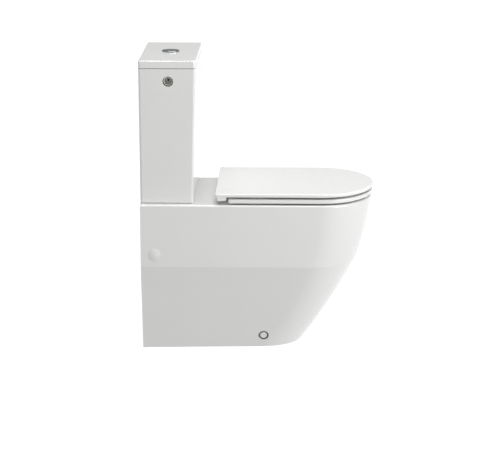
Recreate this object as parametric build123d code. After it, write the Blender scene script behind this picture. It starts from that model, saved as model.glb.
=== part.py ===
from build123d import *
import os

# A back-to-wall close coupled toilet: a rimless washdown pan with a full skirt, a separate cistern bolted on
# its rear shelf, a slim soft-close seat and cover, a dual flush button, a flush valve and a side fill valve.
# Lengths are millimetres. While the parts are made, the wall is the plane y = 0, the front looks along -Y
# and the floor is z = 0. "Reach" is a distance forward from the wall. export_part() moves every part so that
# the origin is on the floor, below the middle of the whole object.

# ---- Overall sizes ----
overall_reach = 650.0  # wall to the front of the cover
pan_width = 360.0
rim_height = 427.0  # floor to the top of the pan's rim and shelf
cistern_top_height = 828.0  # floor to the top of the cistern lid
cover_width = 356.0

# ---- Pan: outside ----
rim_setback = 4.0  # cover front to pan front
nose_reach = 147.0  # length of the rounded nose at the rim
crease_height = 250.0  # the upright sides end here and lean in below
crease_setback = 42.0  # cover front to the nose at the crease
crease_nose_reach = 138.0
crease_softening = 22.0
upper_bulge = 5.0  # how far the nose stands out between crease and rim
foot_setback = 198.0  # cover front to the nose on the floor
foot_nose_reach = 112.0
foot_rear_inset = 48.0  # each side, at the wall
foot_front_inset = 66.0  # each side, where the nose starts
lower_bulge = 8.0
rim_edge_radius = 6.0
skirt_wall = 12.0
deck_thickness = 14.0
ellipse_share = 0.5523  # Bezier handle length over quadrant length that gives an ellipse
cut_past = 2.0  # how far a cut runs past the face it opens
deep_cut = 60.0  # length of a drill that passes through any wall
overlap = 1.0  # how far two shapes of one piece run into each other

# ---- Pan: bowl, trap and outlet ----
bowl_wall = 11.0
bowl_front_land = 40.0  # rim width at the front
bowl_side_land = 47.0
bowl_length = 304.0
bowl_edge_radius = 7.0
bowl_floor_above_trap = 2.0  # bowl floor above the trap's lowest point
bowl_joint_depth = 4.0  # below the rim, where the bowl's outer wall starts
# Rings of the bowl: depth below the rim, share of its length, share of its width, shift towards the wall
bowl_rings = [
    (34.0, 0.985, 0.985, 0.0),
    (97.0, 0.89, 0.89, 3.0),
    (177.0, 0.69, 0.68, 15.0),
    (247.0, 0.46, 0.45, 35.0),
]
sump_length_share = 0.27
sump_width_share = 0.30
sump_shift = 58.0
trap_bore_radius = 32.0
trap_wall = 11.0
trap_low_height = 98.0
trap_crest_height = 214.0
trap_bend_radius = 52.0
trap_run_radius = 90.0  # bend from the outlet's level run
trap_run_reach = 150.0  # the level run ends here
trap_crest_reach = 248.0
trap_low_reach = 345.0
trap_mouth_shift = 56.0  # from the bowl's middle towards the wall
trap_mouth_rise = 16.0
trap_in_outlet = 40.0  # overlap of the trap's wall with the outlet's
outlet_height = 182.0
outlet_radius = 51.0
outlet_wall = 8.5
outlet_length = 108.0
outlet_end_reach = 12.0
outlet_stop = 10.0  # thickness of the step inside the outlet's root
duct_width = 56.0
duct_height = 35.0
duct_wall = 8.0

# ---- Cistern ----
cistern_top_width = 348.0
cistern_base_width = 318.0
cistern_top_depth = 156.0
cistern_base_depth = 146.0
cistern_wall = 10.0
cistern_floor = 12.0
cistern_corner_radius = 6.0
cistern_base_radius = 3.0
cistern_seat_gap = 0.4  # rests on its gasket, this far above the shelf
valve_reach = 78.0  # flush valve, flush inlet, bolts and buttons share this line

lid_height = 21.0
lid_gap = 1.2  # filled by the lid pads
lid_plate = 9.0
lid_edge_radius = 3.0
lid_lip_depth = 7.0
lid_lip_gap = 2.0
lid_lip_width = 7.0
lid_pad_radius = 3.0

# ---- Flush inlet joint between the cistern and the pan ----
inlet_hole_radius = 46.0
gasket_seat_radius = 58.0
gasket_seat_depth = 4.0
gasket_outer_radius = 56.0
gasket_inner_radius = 42.5
valve_tail_radius = 30.0
valve_tail_bore = 26.5
valve_tail_length = 34.0
valve_flange_radius = 43.0
valve_flange_thickness = 4.0
valve_washer_thickness = 3.0
valve_nut_radius = 40.0
valve_nut_thickness = 10.0
hole_gap = 1.0  # radial room of a hole in the cistern or its lid
bolt_hole_gap = 2.0  # radial room of the bolt holes in the pan
bush_gap = 0.5

# ---- Cistern bolts ----
bolt_spacing = 152.0
bolt_radius = 4.0
bolt_length = 66.0
bolt_head_radius = 9.0
bolt_head_softening = 1.5
bolt_slot_width = 1.8
bolt_slot_depth = 1.5
bolt_washer_margin = 3.0  # past the bolt's head
bolt_head_height = 5.0
bolt_washer_thickness = 4.0
steel_washer_thickness = 1.5
wing_nut_height = 9.0
wing_nut_radius = 8.0
wing_span = 40.0
wing_thickness = 4.0
wing_step = 2.0  # hub's top above the wings
wing_tip_radius = 3.0
thread_gap = 0.05  # radial room between a bolt or pin and the piece it turns in

# ---- Flush valve ----
tower_radius = 38.0
tower_wall = 2.5
tower_height = 235.0
tower_window_height = 34.0
tower_window_width = 30.0
tower_window_sill = 4.0
tower_cap_thickness = 3.0
overflow_drop = 10.0  # overflow tube's top below the tower's
tower_cap_height = 30.0
overflow_radius = 14.0
overflow_bore = 11.5
flush_seal_radius = 31.0
flush_seal_thickness = 5.0
seal_gap = 0.3

# ---- Buttons ----
bezel_width = 3.6
bezel_height = 3.6
bezel_edge_radius = 1.6
sleeve_wall = 1.5
sleeve_length = 30.0
button_gap = 0.3
button_radius = 20.6
button_split = -6.0  # x of the line between the half and the full flush button
button_depth = 9.0
button_crown = 0.9
button_travel = 6.0
push_rod_radius = 3.0
push_rod_gap = 1.0  # from a pressed push rod to the valve's cap
bezel_nut_width = 7.6  # at its corners
bezel_nut_height = 8.0
nut_sides = 12

# ---- Fill valve, on the sitter's right (-X) ----
inlet_reach = 81.0
inlet_height = 771.0
inlet_port_radius = 14.5
inlet_bore_radius = 10.4  # half inch internal thread, drawn plain
inlet_bore_length = 18.0
inlet_jet_radius = 3.0
inlet_jet_length = 12.0
inlet_collar_radius = 12.6  # carries the washer
fill_washer_radius = 20.0
fill_washer_gap = 0.25  # clear of the cistern's leaning wall
fill_stem_share = 0.62  # stem's place along the body
fill_foot_margin = 4.0  # past the stem
fill_foot_height = 4.0
float_rest = 10.0  # float's lowest place above the stem's foot
float_rod_inset = 3.0
float_rod_headroom = 4.0  # below the cistern's rim with the float up
fill_washer_thickness = 3.0
fill_flange_radius = 18.0
fill_flange_thickness = 4.0
fill_body_radius = 16.0
fill_body_length = 42.0
fill_stem_radius = 8.0
fill_stem_length = 190.0
float_radius = 24.0
float_height = 62.0
float_wall = 2.0
float_gap = 0.8
float_rod_radius = 2.0
float_travel = 55.0

# ---- Seat and cover ----
cover_thickness = 9.5
cover_rear_reach = 208.0
cover_nose_reach = 150.0
cover_edge_radius = 2.5
cover_corner_radius = 5.0
cover_over_seat = 5.7  # gap between the cover and the seat
seat_thickness = 12.0
seat_over_rim = 4.3  # gap between the seat and the pan
seat_inset = 1.5  # seat edge inside the cover edge
seat_rear_reach = 244.0
seat_corner_radius = 5.0
seat_edge_radius = 3.5
seat_hole_front_land = 58.0
seat_hole_length = 268.0
seat_hole_width = 218.0
buffer_rear_gap = 4.0
buffer_front_share = 0.76  # the front pads stand nearer the middle
seat_buffer_share = 0.5  # place of the seat's pads across the rim
cover_buffer_share = 0.42
buffer_width = 14.0
buffer_length = 36.0
buffer_gap = 0.3

lug_inset = 0.8
lug_root = 3.0  # how far it runs up into the cover
lug_slope = 3.0
lug_radius = 2.5
cover_arm_end = 22.0
cover_arm_depth = 2.0
seat_arm_start = 10.0
seat_arm_end = 12.0
lug_width = 28.0
lug_front_reach = 241.0
lug_drop = 9.5
lug_rear_inset = 6.0

# ---- Hinges ----
hinge_spacing = 155.0
hinge_stud_reach = 228.0
hinge_axis_reach = 217.0
hinge_axis_above_rim = 13.0
hinge_barrel_radius = 8.5
hinge_pin_radius = 4.0
damper_radius = 6.0
post_width = 22.0
post_foot_rear = 5.0
post_foot_front = 8.0
post_pad_setback = 0.5
bush_drop = 2.0  # the bush's foot and the nut's top below the deck's underside
pin_setback = 1.0
post_base_radius = 18.0
post_base_thickness = 2.6
post_pad_thickness = 0.6
ear_width = 15.0
ear_gap = 1.5
stud_radius = 4.0
stud_length = 52.0
stud_grip = 9.0  # stud held inside the post
bush_radius = 7.5
bush_length = 15.6
stud_nut_radius = 11.0
stud_nut_height = 12.0

# ---- Side covers and floor fixings ----
service_hole_radius = 13.0
service_cap_radius = 17.0
service_cap_dome = 3.0
service_cap_rim = 0.8
service_reach = 39.0
service_height = 285.0
service_clip_length = 9.0
service_clip_wall = 1.6
service_clip_gap = 0.4
fixing_reach = 342.0
fixing_height = 35.5
fixing_recess_radius = 14.6
fixing_recess_depth = 5.0
fixing_screw_radius = 3.0
fixing_hole_gap = 1.5
fixing_ring_gap = 0.2
fixing_cap_gap = 0.3
fixing_screw_length = 34.0
fixing_head_radius = 7.0
fixing_head_height = 2.0
fixing_ring_thickness = 2.4
fixing_cap_radius = 9.5
fixing_cap_height = 2.4
bracket_gap = 5.0  # clear of the skirt's inner face
bracket_thickness = 5.0
bracket_width = 44.0
bracket_height = 62.0
bracket_foot = 46.0
bracket_bolt_radius = 4.5
bracket_bolt_spacing = 24.0
bracket_bolt_inset = 14.0  # bolt line from the foot's inner edge

# ---- Heights and places that follow from the sizes above ----
pan_half = pan_width / 2
bezel_bore = button_radius + button_gap
bezel_radius = bezel_bore + bezel_width
sleeve_radius = bezel_bore + sleeve_wall
bezel_nut_radius = sleeve_radius + bezel_nut_width
deck_underside = rim_height - deck_thickness
seat_bottom = rim_height + seat_over_rim
seat_top = seat_bottom + seat_thickness
cover_bottom = seat_top + cover_over_seat
cover_top = cover_bottom + cover_thickness
cistern_bottom = rim_height + cistern_seat_gap
cistern_inner_floor = cistern_bottom + cistern_floor
lid_bottom = cistern_top_height - lid_height
cistern_rim = lid_bottom - lid_gap
lid_underside = cistern_top_height - lid_plate
hinge_x = hinge_spacing / 2
hinge_axis_height = rim_height + hinge_axis_above_rim
bowl_front = overall_reach - rim_setback - bowl_front_land
bowl_middle = bowl_front - bowl_length / 2
bowl_half_width = pan_half - bowl_side_land
bowl_back = bowl_front - bowl_length
valve_base_height = cistern_inner_floor + valve_washer_thickness
tower_bottom = valve_base_height + valve_flange_thickness
tower_top = tower_bottom + tower_height
cap_top = tower_top + tower_cap_height


def at(reach, height, x=0.0):
    """A point given by its distance from the wall and its height."""
    return Vector(x, -reach, height)


def mirrored(shape):
    """The shape and its copy on the other side of the middle plane, as one group."""
    return Compound(children=[*shape.solids(), *shape.mirror(Plane.YZ).solids()])


def tube(outer, inner, low, high, reach, x=0.0):
    """An upright tube between two heights."""
    height = high - low
    place = Pos(x, -reach, (low + high) / 2)
    return place * (Cylinder(outer, height) - Cylinder(inner, height))


def domed_disc(radius, low, shoulder, top):
    """A disc on the Z axis whose top is a shallow dome."""
    rise = top - shoulder
    ball = (radius**2 + rise**2) / (2 * rise)
    disc = Pos(0, 0, (low + top) / 2) * Cylinder(radius, top - low)
    return disc & Pos(0, 0, top - ball) * Sphere(ball)


def cross_bar(radius, x_low, x_high, reach, height):
    """A round bar along X."""
    middle = (x_low + x_high) / 2
    return Pos(middle, -reach, height) * Rot(0, 90, 0) * Cylinder(radius, x_high - x_low)


def level_bar(radius, reach_low, reach_high):
    """A round bar along Y at the outlet's height."""
    middle = (reach_low + reach_high) / 2
    return Pos(0, -middle, outlet_height) * Rot(90, 0, 0) * Cylinder(radius, reach_high - reach_low)


def block(x_low, x_high, reach_low, reach_high, z_low, z_high):
    """A box given by its limits."""
    size = (x_high - x_low, reach_high - reach_low, z_high - z_low)
    middle = ((x_low + x_high) / 2, -(reach_low + reach_high) / 2, (z_low + z_high) / 2)
    return Pos(*middle) * Box(*size)


def export_part(name, shape):
    """Writes one piece, moved so that the origin is below the middle of the object."""
    export_step(Pos(0, overall_reach / 2, 0) * shape, f"parts/{name}.step")


def nosed_outline(height, rear_half, front_half, nose_start, tip, rear=0.0):
    """A plan outline: flat back, straight sides and a nose of two Bezier quadrants."""
    corner = Vector(rear_half, -rear, height)
    shoulder = Vector(front_half, -nose_start, height)
    side = (shoulder - corner).normalized()
    handle = shoulder + side * (ellipse_share * (tip - nose_start))
    crown = Vector(0, -tip, height)
    crown_handle = Vector(ellipse_share * front_half, -tip, height)

    def other(point):
        return Vector(-point.X, point.Y, point.Z)

    edges = [
        Line(other(corner), corner),
        Line(corner, shoulder),
        Bezier(shoulder, handle, crown_handle, crown),
        Bezier(crown, other(crown_handle), other(handle), other(shoulder)),
        Line(other(shoulder), other(corner)),
    ]
    return Face(Wire(edges))


# ---- Pan ----


def between(low, high, share, bulge=0.0):
    """A value part of the way between two others, with a parabolic bulge in the middle."""
    return low + (high - low) * share + bulge * 4 * share * (1 - share)


def pan_section(height, inset=0.0, rear=0.0):
    """The pan's plan outline at a height, drawn in by a wall thickness."""
    crease_tip = overall_reach - crease_setback
    rim_tip = overall_reach - rim_setback
    foot_tip = overall_reach - foot_setback
    if height >= crease_height:
        share = (height - crease_height) / (rim_height - crease_height)
        rear_half = front_half = pan_half
        tip = between(crease_tip, rim_tip, share, upper_bulge)
        nose = between(crease_nose_reach, nose_reach, share)
    else:
        share = height / crease_height
        rear_half = between(pan_half - foot_rear_inset, pan_half, share)
        front_half = between(pan_half - foot_front_inset, pan_half, share)
        tip = between(foot_tip, crease_tip, share, lower_bulge)
        nose = between(foot_nose_reach, crease_nose_reach, share)
    return nosed_outline(height, rear_half - inset, front_half - inset, tip - nose, tip - inset, rear)


def pan_body(top, inset=0.0, rear=0.0):
    """The pan's filled outside, or the space inside its skirt, up to a height."""
    half_way = (crease_height + top) / 2
    lower = loft([pan_section(z, inset, rear) for z in (0, crease_height / 2, crease_height)])
    upper = loft([pan_section(z, inset, rear) for z in (crease_height, half_way, top)])
    return lower + upper


def bowl_form(grow, top, bottom):
    """The bowl as a stack of ellipses that shrinks towards the sump at its rear."""
    levels = [(rim_height - top, 1.0, 1.0, 0.0)]
    levels += bowl_rings
    levels.append((rim_height - bottom, sump_length_share, sump_width_share, sump_shift))
    rings = []
    for depth, length_share, width_share, shift in levels:
        ring = Ellipse(bowl_half_width * width_share + grow, bowl_length / 2 * length_share + grow)
        rings.append(Pos(0, -(bowl_middle - shift), rim_height - depth) * ring)
    return loft(rings)


def trap_form(radius, start_reach):
    """The trapway: down behind the sump, up over the crest and level to the outlet."""
    points = [
        at(start_reach, outlet_height),
        at(trap_run_reach, outlet_height),
        at(trap_crest_reach, trap_crest_height),
        at(trap_low_reach, trap_low_height),
        at(bowl_middle - trap_mouth_shift, trap_low_height + trap_mouth_rise),
    ]
    path = FilletPolyline(*points, radius=[trap_run_radius, trap_bend_radius, trap_bend_radius])
    start = Plane(origin=points[0], z_dir=(0, -1, 0))
    return sweep(start * Circle(radius), path)


def deck_drill(radius, x, reach):
    """An upright drill through the deck."""
    return Pos(x, -reach, rim_height) * Cylinder(radius, deep_cut)


def waterways_outside():
    """The outer walls of the bowl, the trap, the outlet and the flush duct, as one filled shape."""
    bowl_floor = trap_low_height + bowl_floor_above_trap
    walls = bowl_form(bowl_wall, rim_height - bowl_joint_depth, bowl_floor - bowl_wall)
    walls += trap_form(trap_bore_radius + trap_wall, outlet_end_reach + trap_in_outlet)
    walls += level_bar(outlet_radius, outlet_end_reach, outlet_end_reach + outlet_length)
    half = duct_width / 2 + duct_wall
    floor = deck_underside - duct_height - duct_wall
    walls += block(-half, half, valve_reach, bowl_back + duct_wall / 4, floor, deck_underside)
    depth = deck_underside - floor
    chamber = Cylinder(inlet_hole_radius + duct_wall, depth)
    return walls + Pos(0, -valve_reach, floor + depth / 2) * chamber


def waterways_inside():
    """The space inside the trap, the outlet and the flush duct."""
    duct_low = deck_underside - duct_height
    space = trap_form(trap_bore_radius, outlet_end_reach - cut_past)
    bore_end = outlet_end_reach + outlet_length - outlet_stop
    space += level_bar(outlet_radius - outlet_wall, outlet_end_reach - cut_past, bore_end)
    half = duct_width / 2
    space += block(-half, half, valve_reach, bowl_back + duct_wall, duct_low, deck_underside)
    height = rim_height + cut_past - duct_low
    return space + Pos(0, -valve_reach, duct_low + height / 2) * Cylinder(inlet_hole_radius, height)


def make_pan():
    outside = pan_body(rim_height)
    for height, radius in ((crease_height, crease_softening), (rim_height, rim_edge_radius)):
        edges = outside.edges().filter_by(lambda e: abs(e.center().Z - height) < 0.5 and e.center().Y < -1)
        outside = fillet(edges, radius)
    pan = outside - (pan_body(deck_underside, skirt_wall, rear=-skirt_wall) - waterways_outside())

    pan -= bowl_form(0.0, rim_height + cut_past / 2, trap_low_height + bowl_floor_above_trap)
    mouth = pan.edges().filter_by(lambda e: e.is_closed and abs(e.center().Z - rim_height) < 0.5)
    pan = fillet(mouth, bowl_edge_radius)
    pan -= waterways_inside()
    pan -= Pos(0, -valve_reach, rim_height) * Cylinder(gasket_seat_radius, 2 * gasket_seat_depth)

    for side in (-1, 1):
        pan -= deck_drill(bolt_radius + bolt_hole_gap, side * bolt_spacing / 2, valve_reach)
        pan -= deck_drill(bush_radius + bush_gap, side * hinge_x, hinge_stud_reach)
    hole_x = (pan_half - 2 * skirt_wall, pan_half + cut_past)
    service_hole = cross_bar(service_hole_radius, *hole_x, service_reach, service_height)
    recess = Cylinder(fixing_recess_radius, 2 * fixing_recess_depth)
    recess += Cylinder(fixing_screw_radius + fixing_hole_gap, deep_cut)
    for cut in (service_hole, skirt_plane() * recess):
        pan -= cut
        pan -= cut.mirror(Plane.YZ)
    return pan


# ---- Floor fixings and side covers ----


def skirt_half_width(reach, height):
    """Half the skirt's width at a point of the leaning sides."""
    share = height / crease_height
    rear_half = between(pan_half - foot_rear_inset, pan_half, share)
    front_half = between(pan_half - foot_front_inset, pan_half, share)
    crease_tip = overall_reach - crease_setback
    tip = between(overall_reach - foot_setback, crease_tip, share, lower_bulge)
    nose_start = tip - between(foot_nose_reach, crease_nose_reach, share)
    return rear_half + (front_half - rear_half) * reach / nose_start


def skirt_plane():
    """A plane on the right-hand leaning side at the floor fixing, facing out."""
    step = 1.0
    here = skirt_half_width(fixing_reach, fixing_height)
    lean = skirt_half_width(fixing_reach, fixing_height + step) - here
    taper = skirt_half_width(fixing_reach + step, fixing_height) - here
    return Plane(at(fixing_reach, fixing_height, here), x_dir=(0, 1, 0), z_dir=(1, taper, -lean))


def on_skirt(shape):
    """A pair of pieces, one at each floor fixing."""
    return mirrored(skirt_plane() * shape)


def washer(outer, inner, low, high):
    """A ring on the Z axis between two heights."""
    return tube(outer, inner, low, high, 0)


def make_fixing_screws():
    floor = -fixing_recess_depth
    head = Pos(0, 0, floor + fixing_head_height / 2) * Cylinder(fixing_head_radius, fixing_head_height)
    shank = Pos(0, 0, floor - fixing_screw_length / 2) * Cylinder(fixing_screw_radius, fixing_screw_length)
    return on_skirt(head + shank)


def make_fixing_rings():
    floor = -fixing_recess_depth
    outer = fixing_recess_radius - fixing_ring_gap
    ring = washer(outer, fixing_cap_radius + fixing_cap_gap, floor, floor + fixing_ring_thickness)
    return on_skirt(ring)


def make_fixing_caps():
    floor = -fixing_recess_depth
    top = floor + fixing_head_height + fixing_cap_height
    cap = washer(fixing_cap_radius, fixing_head_radius + fixing_cap_gap, floor, top)
    cap += Pos(0, 0, top - fixing_cap_height / 4) * Cylinder(fixing_cap_radius, fixing_cap_height / 2)
    return on_skirt(fillet(cap.edges().sort_by(Axis.Z)[-1], fixing_cap_height / 3))


def make_floor_brackets():
    def face_x(height):
        return skirt_half_width(fixing_reach, height) - skirt_wall - bracket_gap

    foot_x = face_x(0) - bracket_foot
    profile = [
        (foot_x, 0),
        (face_x(0), 0),
        (face_x(bracket_height), bracket_height),
        (face_x(bracket_height) - bracket_thickness, bracket_height),
        (face_x(bracket_thickness) - bracket_thickness, bracket_thickness),
        (foot_x, bracket_thickness),
    ]
    side = Plane(at(fixing_reach, 0), x_dir=(1, 0, 0), z_dir=(0, -1, 0))
    angle = extrude(side * make_face(Polyline(*profile, close=True)), bracket_width / 2, both=True)
    angle -= skirt_plane() * Cylinder(fixing_screw_radius + thread_gap, 2 * deep_cut)
    for along in (-1, 1):
        y = along * bracket_bolt_spacing / 2 - fixing_reach
        angle -= Pos(foot_x + bracket_bolt_inset, y, 0) * Cylinder(bracket_bolt_radius, deep_cut)
    return mirrored(angle)


def make_service_caps():
    cap = domed_disc(service_cap_radius, 0, service_cap_rim, service_cap_dome)
    clip_radius = service_hole_radius - service_clip_gap
    cap += washer(clip_radius, clip_radius - service_clip_wall, -service_clip_length, 0)
    place = Plane(at(service_reach, service_height, pan_half), x_dir=(0, 1, 0), z_dir=(1, 0, 0))
    return mirrored(place * cap)


# ---- Cistern ----


def cistern_section(height, inset=0.0, past_wall=0.0):
    """The cistern's plan rectangle at a height; it is a little slimmer at its foot."""
    share = (height - cistern_bottom) / (cistern_rim - cistern_bottom)
    width = between(cistern_base_width, cistern_top_width, share) - 2 * inset
    depth = between(cistern_base_depth, cistern_top_depth, share) - 2 * inset + past_wall
    return Pos(0, past_wall - inset - depth / 2, height) * Rectangle(width, depth)


def upright_edges(shape):
    """The edges that run up a tapered box at its corners."""
    return shape.edges().filter_by(lambda e: abs(e.tangent_at(0.5).Z) > 0.9)


def make_cistern():
    half = cistern_top_width / 2
    tank = loft([cistern_section(z, past_wall=cistern_wall) for z in (cistern_bottom, cistern_rim)])
    tank &= block(-half, half, 0, cistern_top_depth, cistern_bottom, cistern_rim)
    tank = fillet(upright_edges(tank), cistern_corner_radius)
    tank = fillet(tank.faces().sort_by(Axis.Z)[0].edges(), cistern_base_radius)
    inner_low = cistern_section(cistern_inner_floor, cistern_wall)
    inner = loft([inner_low, cistern_section(cistern_rim + cut_past, cistern_wall)])
    tank -= fillet(upright_edges(inner), cistern_corner_radius)
    tank -= Pos(0, -valve_reach, cistern_bottom) * Cylinder(valve_tail_radius + hole_gap, deep_cut)
    for x in (-bolt_spacing / 2, bolt_spacing / 2):
        tank -= Pos(x, -valve_reach, cistern_bottom) * Cylinder(bolt_radius + hole_gap, deep_cut)
    port_depth = 2 * cistern_wall + cut_past
    port = cross_bar(inlet_port_radius, -half - cut_past, -half + port_depth, inlet_reach, inlet_height)
    return tank - port


def make_cistern_gasket():
    seat = rim_height - gasket_seat_depth
    return tube(gasket_outer_radius, gasket_inner_radius, seat, cistern_bottom, valve_reach)


def bolt_pair(shape):
    """A pair of pieces on the two cistern bolts' lines."""
    return mirrored(Pos(bolt_spacing / 2, -valve_reach, 0) * shape)


def make_cistern_bolts():
    under_head = cistern_inner_floor + bolt_washer_thickness
    head = Pos(0, 0, under_head + bolt_head_height / 2) * Cylinder(bolt_head_radius, bolt_head_height)
    head = fillet(head.edges().sort_by(Axis.Z)[-1], bolt_head_softening)
    slot = Box(2 * bolt_head_radius, bolt_slot_width, 2 * bolt_slot_depth)
    head -= Pos(0, 0, under_head + bolt_head_height) * slot
    shank = Pos(0, 0, under_head - bolt_length / 2) * Cylinder(bolt_radius, bolt_length)
    return bolt_pair(head + shank)


def bolt_washer(low, high):
    return washer(bolt_head_radius + bolt_washer_margin, bolt_radius + thread_gap, low, high)


def make_bolt_rubber_washers():
    high = cistern_inner_floor + bolt_washer_thickness
    return bolt_pair(bolt_washer(cistern_inner_floor, high))


def make_bolt_steel_washers():
    low = deck_underside - steel_washer_thickness
    return bolt_pair(bolt_washer(low, deck_underside))


def make_wing_nuts():
    high = deck_underside - steel_washer_thickness
    low = high - wing_nut_height
    hub = Pos(0, 0, (low + high) / 2) * Cylinder(wing_nut_radius, wing_nut_height)
    wings = Box(wing_thickness, wing_span, wing_nut_height - wing_step)
    wings = Pos(0, 0, (low + high - wing_step) / 2) * wings
    bore = Cylinder(bolt_radius + thread_gap, 3 * high)
    return bolt_pair(hub + fillet(wings.edges().filter_by(Axis.X), wing_tip_radius) - bore)


# ---- Lid and flush buttons ----


def make_cistern_lid():
    depth = cistern_top_depth
    half = cistern_top_width / 2
    lid = block(-half, half, 0, depth, lid_bottom, cistern_top_height)
    lid = fillet(lid.edges().filter_by(Axis.Z), cistern_corner_radius)
    lid = fillet(lid.faces().sort_by(Axis.Z)[-1].edges(), lid_edge_radius)
    wall = cistern_wall
    lid -= block(-half + wall, half - wall, wall, depth - wall, lid_bottom - cut_past, lid_underside)
    inset = wall + lid_lip_gap
    lip_low = lid_bottom - lid_lip_depth
    lip = block(-half + inset, half - inset, inset, depth - inset, lip_low, lid_underside)
    inset += lid_lip_width
    hollow_z = (lip_low - cut_past, lid_underside + cut_past)
    lid += lip - block(-half + inset, half - inset, inset, depth - inset, *hollow_z)
    return lid - Pos(0, -valve_reach, cistern_top_height) * Cylinder(sleeve_radius + hole_gap, deep_cut)


def make_lid_pads():
    middle = cistern_wall / 2
    pads = []
    for reach in (middle, cistern_top_depth - middle):
        x = cistern_top_width / 2 - 2 * cistern_wall
        pads.append(Pos(x, -reach, (cistern_rim + lid_bottom) / 2) * Cylinder(lid_pad_radius, lid_gap))
    return mirrored(Compound(children=pads))


def make_button_bezel():
    seat = cistern_top_height
    ring = tube(bezel_radius, bezel_bore, seat, seat + bezel_height, valve_reach)
    ring = fillet(ring.faces().sort_by(Axis.Z)[-1].edges(), bezel_edge_radius)
    return ring + tube(sleeve_radius, bezel_bore, seat - sleeve_length, seat + overlap, valve_reach)


def make_bezel_nut():
    outline = RegularPolygon(bezel_nut_radius, nut_sides)
    ring = extrude(Pos(0, -valve_reach, lid_underside - bezel_nut_height) * outline, bezel_nut_height)
    return ring - Pos(0, -valve_reach, lid_underside) * Cylinder(sleeve_radius + thread_gap, deep_cut)


def make_button(side):
    """One half of the split push button, with its push rod: side 1 is the full flush."""
    top = cistern_top_height + bezel_height + button_crown
    low = top - button_depth
    disc = Pos(0, -valve_reach, 0) * domed_disc(button_radius, low, top - button_crown, top)
    edge = button_split + side * button_gap / 2
    far = 2 * button_radius
    limits = sorted((edge, side * far))
    return disc & block(*limits, valve_reach - far, valve_reach + far, low - cut_past, top + cut_past)


def make_push_rod(side):
    x = button_split + side * (button_radius - side * button_split) / 2
    top = cistern_top_height + bezel_height + button_crown - button_depth
    low = cap_top + button_travel + push_rod_gap
    return Pos(x, -valve_reach, (low + top) / 2) * Cylinder(push_rod_radius, top - low)


# ---- Flush valve ----


def make_flush_valve_base():
    low = valve_base_height
    flange = tube(valve_flange_radius, valve_tail_bore, low, tower_bottom, valve_reach)
    tail_low = low - valve_tail_length
    return flange + tube(valve_tail_radius, valve_tail_bore, tail_low, low + overlap, valve_reach)


def make_valve_washer():
    outer = valve_flange_radius
    return tube(outer, valve_tail_radius + hole_gap, cistern_inner_floor, valve_base_height, valve_reach)


def make_valve_nut():
    low = cistern_bottom - valve_nut_thickness
    outline = RegularPolygon(valve_nut_radius, nut_sides)
    ring = extrude(Pos(0, -valve_reach, low) * outline, valve_nut_thickness)
    return ring - Pos(0, -valve_reach, low) * Cylinder(valve_tail_radius + thread_gap, deep_cut)


def make_valve_tower():
    tower = tube(tower_radius, tower_radius - tower_wall, tower_bottom, tower_top, valve_reach)
    window = Box(3 * tower_radius, tower_window_width, tower_window_height)
    middle = tower_bottom + tower_window_sill + tower_window_height / 2
    for angle in (0, 90):
        tower -= Pos(0, -valve_reach, middle) * Rot(0, 0, angle) * window
    return tower


def make_valve_cap():
    cap = tube(tower_radius, tower_radius - tower_wall, tower_top, cap_top, valve_reach)
    disc = Cylinder(tower_radius, tower_cap_thickness)
    return cap + Pos(0, -valve_reach, cap_top - tower_cap_thickness / 2) * disc


def make_overflow_tube():
    low = tower_bottom + seal_gap
    return tube(overflow_radius, overflow_bore, low, tower_top - overflow_drop, valve_reach)


def make_flush_seal():
    low = tower_bottom + seal_gap
    return tube(flush_seal_radius, overflow_radius + thread_gap, low, low + flush_seal_thickness, valve_reach)


# ---- Fill valve ----

washer_foot = inlet_height - fill_washer_radius
washer_share = (washer_foot - cistern_bottom) / (cistern_rim - cistern_bottom)
port_half = between(cistern_base_width, cistern_top_width, washer_share) / 2
fill_washer_x = -(port_half - cistern_wall - fill_washer_gap)
fill_flange_x = fill_washer_x + fill_washer_thickness
fill_body_x = fill_flange_x + fill_flange_thickness
fill_stem_x = fill_body_x + fill_body_length * fill_stem_share
float_bottom = inlet_height - fill_stem_length + float_rest


def inlet_bar(radius, x_low, x_high):
    """A round bar across the cistern on the water inlet's line."""
    return cross_bar(radius, x_low, x_high, inlet_reach, inlet_height)


def make_fill_washer():
    ring = inlet_bar(fill_washer_radius, fill_washer_x, fill_flange_x)
    bore = inlet_collar_radius + thread_gap
    return ring - inlet_bar(bore, fill_washer_x - cut_past, fill_flange_x + cut_past)


def make_fill_valve():
    body = inlet_bar(fill_flange_radius, fill_flange_x, fill_body_x)
    body += inlet_bar(fill_body_radius, fill_body_x, fill_body_x + fill_body_length)
    body += inlet_bar(inlet_collar_radius, fill_washer_x, fill_flange_x)
    stem_low = inlet_height - fill_stem_length
    stem_place = Pos(fill_stem_x, -inlet_reach, (stem_low + inlet_height) / 2)
    body += stem_place * Cylinder(fill_stem_radius, fill_stem_length)
    foot = Cylinder(fill_stem_radius + fill_foot_margin, fill_foot_height)
    body += Pos(fill_stem_x, -inlet_reach, stem_low) * foot
    bore_end = fill_washer_x + inlet_bore_length
    body -= inlet_bar(inlet_bore_radius, fill_washer_x, bore_end)
    return body - inlet_bar(inlet_jet_radius, bore_end, bore_end + inlet_jet_length)


def make_float():
    bore = fill_stem_radius + float_gap
    top = float_bottom + float_height
    cup = tube(float_radius, bore, float_bottom, top, inlet_reach)
    hollow_z = (float_bottom - cut_past, top - float_wall)
    cup -= tube(float_radius - float_wall, bore + float_wall, *hollow_z, inlet_reach)
    return Pos(fill_stem_x, 0, 0) * cup


def make_float_rod():
    low = float_bottom + float_height
    x = fill_stem_x + float_radius - float_rod_inset
    height = cistern_rim - float_rod_headroom - float_travel - low
    return Pos(x, -inlet_reach, low + height / 2) * Cylinder(float_rod_radius, height)


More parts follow.
